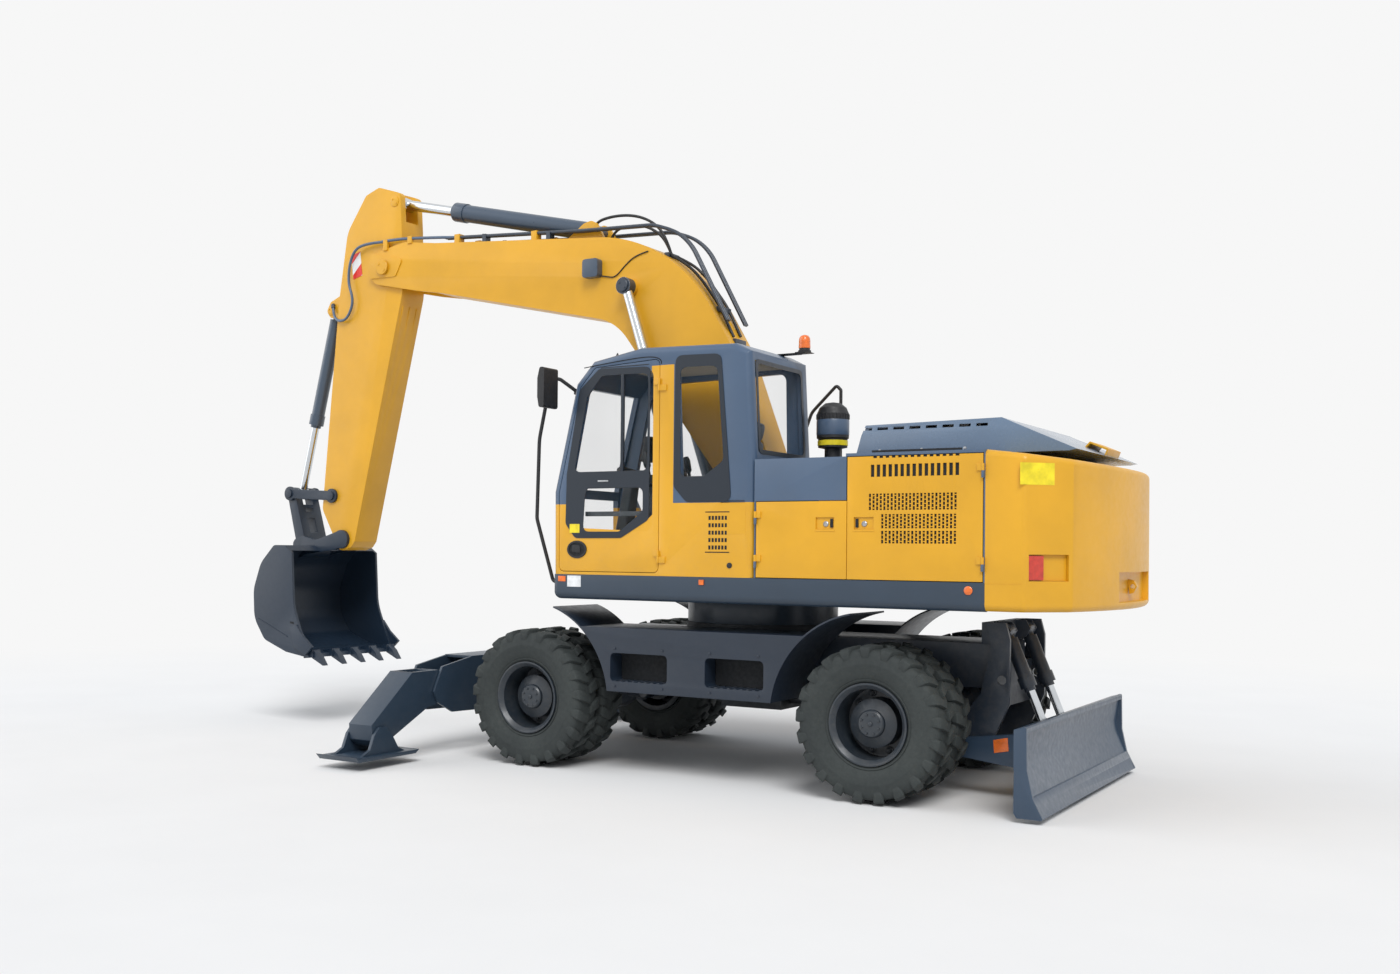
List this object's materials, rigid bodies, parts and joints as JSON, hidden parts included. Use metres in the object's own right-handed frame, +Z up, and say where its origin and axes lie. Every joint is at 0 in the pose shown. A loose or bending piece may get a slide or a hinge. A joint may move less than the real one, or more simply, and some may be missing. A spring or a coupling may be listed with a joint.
{
  "type": "wheeled excavator",
  "caption": "Wheeled excavator with twin tyres, slewing cab and engine house, boom, stick and bucket, front outriggers and a rear dozer blade.",
  "frame": {"origin": "middle of the whole machine's footprint, at ground level", "axes": "+X forward towards the bucket, +Y to the left where the cab stands, +Z up"},
  "size_m": [8.0179, 4.46, 5.0414],
  "materials": {
    "yellow_paint": "semi gloss",
    "slate_paint": "semi gloss",
    "dark_paint": "satin",
    "chrome_rod": "polished",
    "tyre_rubber": "matt",
    "rim_paint": "satin",
    "cast_grey": "matt",
    "glass": "clear",
    "seat_fabric": "woven",
    "black_plastic": "matt",
    "lamp_lens": "gloss"
  },
  "bodies": {
    "undercarriage": {"chassis_frame": "slate_paint", "slew_ring": "cast_grey", "side_boxes": "slate_paint", "driveline": "cast_grey", "rear_axle": "dark_paint", "front_axle": "dark_paint", "outrigger_beam": "slate_paint", "blade_bracket": "dark_paint"},
    "knuckle_left": {"knuckle_left": "dark_paint"},
    "knuckle_right": {"knuckle_right": "dark_paint"},
    "steer_rod": {"steer_rod": "chrome_rod"},
    "wheel_front_left": {"tyres_front_left": "tyre_rubber", "rims_front_left": "rim_paint"},
    "wheel_front_right": {"tyres_front_right": "tyre_rubber", "rims_front_right": "rim_paint"},
    "wheel_rear_left": {"tyres_rear_left": "tyre_rubber", "rims_rear_left": "rim_paint"},
    "wheel_rear_right": {"tyres_rear_right": "tyre_rubber", "rims_rear_right": "rim_paint"},
    "outrigger_leg_left": {"outrigger_leg_left": "slate_paint"},
    "outrigger_leg_right": {"outrigger_leg_right": "slate_paint"},
    "outrigger_foot_left": {"outrigger_foot_left": "slate_paint"},
    "outrigger_foot_right": {"outrigger_foot_right": "slate_paint"},
    "blade": {"blade": "slate_paint"},
    "blade_barrels": {"blade_cylinder_barrels": "dark_paint"},
    "blade_rods": {"blade_cylinder_rods": "chrome_rod"},
    "upper": {"deck": "slate_paint", "counterweight": "yellow_paint", "house_frame": "slate_paint", "engine_and_cooler": "cast_grey", "right_tanks": "yellow_paint", "air_precleaner": "black_plastic", "cab_frame": "slate_paint", "cab_glass": "glass", "cab_controls": "black_plastic", "cab_seat": "seat_fabric", "handrails": "black_plastic", "lamps": "lamp_lens"},
    "left_front_door": {"left_front_door": "yellow_paint"},
    "left_rear_door": {"left_rear_door": "yellow_paint"},
    "right_rear_door": {"right_rear_door": "yellow_paint"},
    "engine_hood": {"engine_hood": "slate_paint"},
    "cab_door": {"cab_door": "yellow_paint", "cab_door_glass": "glass"},
    "boom": {"boom": "yellow_paint", "boom_pipes": "slate_paint"},
    "boom_barrels": {"boom_cylinder_barrels": "slate_paint"},
    "boom_rods": {"boom_cylinder_rods": "chrome_rod"},
    "stick": {"stick": "yellow_paint"},
    "stick_barrel": {"stick_cylinder_barrel": "slate_paint"},
    "stick_rod": {"stick_cylinder_rod": "chrome_rod"},
    "bucket": {"bucket": "slate_paint"},
    "bucket_barrel": {"bucket_cylinder_barrel": "slate_paint"},
    "bucket_rod": {"bucket_cylinder_rod": "chrome_rod"},
    "bucket_rockers": {"bucket_rockers": "slate_paint"},
    "bucket_link": {"bucket_link": "slate_paint"}
  },
  "joints": [
    {"name": "slew", "type": "hinge", "parent": "undercarriage", "child": "upper", "pos_m": [-1.156, 0, 1.195], "axis": [0, 0, 1], "continuous": true},
    {"name": "steer_left", "type": "hinge", "parent": "undercarriage", "child": "knuckle_left", "pos_m": [0.244, 0.5, 0.5275], "axis": [0, 0, 1], "range_deg": [-27, 27]},
    {"name": "wheel_front_left_spin", "type": "hinge", "parent": "knuckle_left", "child": "wheel_front_left", "pos_m": [0.244, 0.949, 0.5275], "axis": [0, 1, 0], "continuous": true},
    {"name": "wheel_rear_left_spin", "type": "hinge", "parent": "undercarriage", "child": "wheel_rear_left", "pos_m": [-2.556, 0.949, 0.5275], "axis": [0, 1, 0], "continuous": true},
    {"name": "outrigger_left_lift", "type": "hinge", "parent": "undercarriage", "child": "outrigger_leg_left", "pos_m": [1.254, 1.18, 0.52], "axis": [1, 0, 0], "range_deg": [-8, 50]},
    {"name": "foot_left_tilt", "type": "hinge", "parent": "outrigger_leg_left", "child": "outrigger_foot_left", "pos_m": [1.254, 1.88, 0.232], "axis": [1, 0, 0], "range_deg": [-25, 25]},
    {"name": "steer_right", "type": "hinge", "parent": "undercarriage", "child": "knuckle_right", "pos_m": [0.244, -0.5, 0.5275], "axis": [0, 0, 1], "range_deg": [-27, 27]},
    {"name": "wheel_front_right_spin", "type": "hinge", "parent": "knuckle_right", "child": "wheel_front_right", "pos_m": [0.244, -0.949, 0.5275], "axis": [0, 1, 0], "continuous": true},
    {"name": "wheel_rear_right_spin", "type": "hinge", "parent": "undercarriage", "child": "wheel_rear_right", "pos_m": [-2.556, -0.949, 0.5275], "axis": [0, 1, 0], "continuous": true},
    {"name": "outrigger_right_lift", "type": "hinge", "parent": "undercarriage", "child": "outrigger_leg_right", "pos_m": [1.254, -1.18, 0.52], "axis": [-1, 0, 0], "range_deg": [-8, 50]},
    {"name": "foot_right_tilt", "type": "hinge", "parent": "outrigger_leg_right", "child": "outrigger_foot_right", "pos_m": [1.254, -1.88, 0.232], "axis": [-1, 0, 0], "range_deg": [-25, 25]},
    {"name": "steer_rod_slide", "type": "slide", "parent": "undercarriage", "child": "steer_rod", "axis": [0, 1, 0], "range_m": [-0.0894, 0.0894]},
    {"name": "blade_lift", "type": "hinge", "parent": "undercarriage", "child": "blade", "pos_m": [-2.906, 0, 0.33], "axis": [0, 1, 0], "range_deg": [-8, 24]},
    {"name": "blade_barrels_tilt", "type": "hinge", "parent": "undercarriage", "child": "blade_barrels", "pos_m": [-3.176, 0, 1.13], "axis": [0, -1, 0], "range_deg": [-1.11, 0.38]},
    {"name": "blade_rods_slide", "type": "slide", "parent": "blade_barrels", "child": "blade_rods", "axis": [-0.376, 0, -0.9266], "range_m": [-0.23558, 0.08059]},
    {"name": "boom_lift", "type": "hinge", "parent": "upper", "child": "boom", "pos_m": [-1.306, 0, 1.93], "axis": [0, -1, 0], "range_deg": [-60, 28]},
    {"name": "boom_barrels_tilt", "type": "hinge", "parent": "upper", "child": "boom_barrels", "pos_m": [-0.762, 0, 1.57], "axis": [0, -1, 0], "range_deg": [-61.14, 29]},
    {"name": "boom_rods_slide", "type": "slide", "parent": "boom_barrels", "child": "boom_rods", "axis": [0.3155, 0, 0.9489], "range_m": [-0.63188, 0.29975]},
    {"name": "stick_crowd", "type": "hinge", "parent": "boom", "child": "stick", "pos_m": [2.725, 0, 4.274], "axis": [0, 1, 0], "range_deg": [-55, 50]},
    {"name": "stick_barrel_tilt", "type": "hinge", "parent": "boom", "child": "stick_barrel", "pos_m": [0.459, 0, 4.375], "axis": [0, -1, 0], "range_deg": [-0.466, 0.511]},
    {"name": "stick_rod_slide", "type": "slide", "parent": "stick_barrel", "child": "stick_rod", "axis": [0.973, 0, 0.2308], "range_m": [-0.5343, 0.48663]},
    {"name": "bucket_curl", "type": "hinge", "parent": "stick", "child": "bucket", "pos_m": [3.244, 0, 1.744], "axis": [0, -1, 0], "range_deg": [-80, 45]},
    {"name": "rockers_swing", "type": "hinge", "parent": "stick", "child": "bucket_rockers", "pos_m": [3.384, 0, 2.16], "axis": [0, -1, 0], "range_deg": [-81, 46.11]},
    {"name": "link_swing", "type": "hinge", "parent": "bucket_rockers", "child": "bucket_link", "pos_m": [3.944, 0, 2.19], "axis": [0, -1, 0], "range_deg": [-39.65, 69.65]},
    {"name": "bucket_barrel_tilt", "type": "hinge", "parent": "stick", "child": "bucket_barrel", "pos_m": [3.484, 0, 3.95], "axis": [0, -1, 0], "range_deg": [-9.52, 5.42]},
    {"name": "bucket_rod_slide", "type": "slide", "parent": "bucket_barrel", "child": "bucket_rod", "axis": [0.2529, 0, -0.9675], "range_m": [-0.36549, 0.64207]},
    {"name": "cab_door_hinge", "type": "hinge", "parent": "upper", "child": "cab_door", "pos_m": [-0.9485, 1.261, 2.2], "axis": [0, 0, 1], "range_deg": [0, 165]},
    {"name": "left_front_door_hinge", "type": "hinge", "parent": "upper", "child": "left_front_door", "pos_m": [-1.7345, 1.261, 1.745], "axis": [0, 0, 1], "range_deg": [-100, 0]},
    {"name": "left_rear_door_hinge", "type": "hinge", "parent": "upper", "child": "left_rear_door", "pos_m": [-3.3335, 1.261, 1.89], "axis": [0, 0, 1], "range_deg": [0, 100]},
    {"name": "right_rear_door_hinge", "type": "hinge", "parent": "upper", "child": "right_rear_door", "pos_m": [-2.4185, -1.261, 1.89], "axis": [0, 0, 1], "range_deg": [0, 100]},
    {"name": "engine_hood_hinge", "type": "hinge", "parent": "upper", "child": "engine_hood", "pos_m": [-2.806, -0.861, 2.331], "axis": [1, 0, 0], "range_deg": [0, 60]}
  ],
  "couplings": [
    {"joint": "steer_right", "follows": "steer_left", "ratio": 1},
    {"joint": "steer_rod_slide", "follows": "steer_left", "m_per_rad": 0.186},
    {"joint": "blade_barrels_tilt", "follows": "blade_lift", "ratio": -0.045794},
    {"joint": "blade_rods_slide", "follows": "blade_lift", "m_per_rad": -0.555},
    {"joint": "boom_barrels_tilt", "follows": "boom_lift", "ratio": 1.0043},
    {"joint": "boom_rods_slide", "follows": "boom_lift", "m_per_rad": 0.59468},
    {"joint": "stick_barrel_tilt", "follows": "stick_crowd", "ratio": -0.00912},
    {"joint": "stick_rod_slide", "follows": "stick_crowd", "m_per_rad": 0.54617},
    {"joint": "rockers_swing", "follows": "bucket_curl", "ratio": 0.99694},
    {"joint": "link_swing", "follows": "bucket_curl", "ratio": -0.85722},
    {"joint": "bucket_barrel_tilt", "follows": "bucket_curl", "ratio": 0.11711},
    {"joint": "bucket_rod_slide", "follows": "bucket_curl", "m_per_rad": -0.45278}
  ]
}
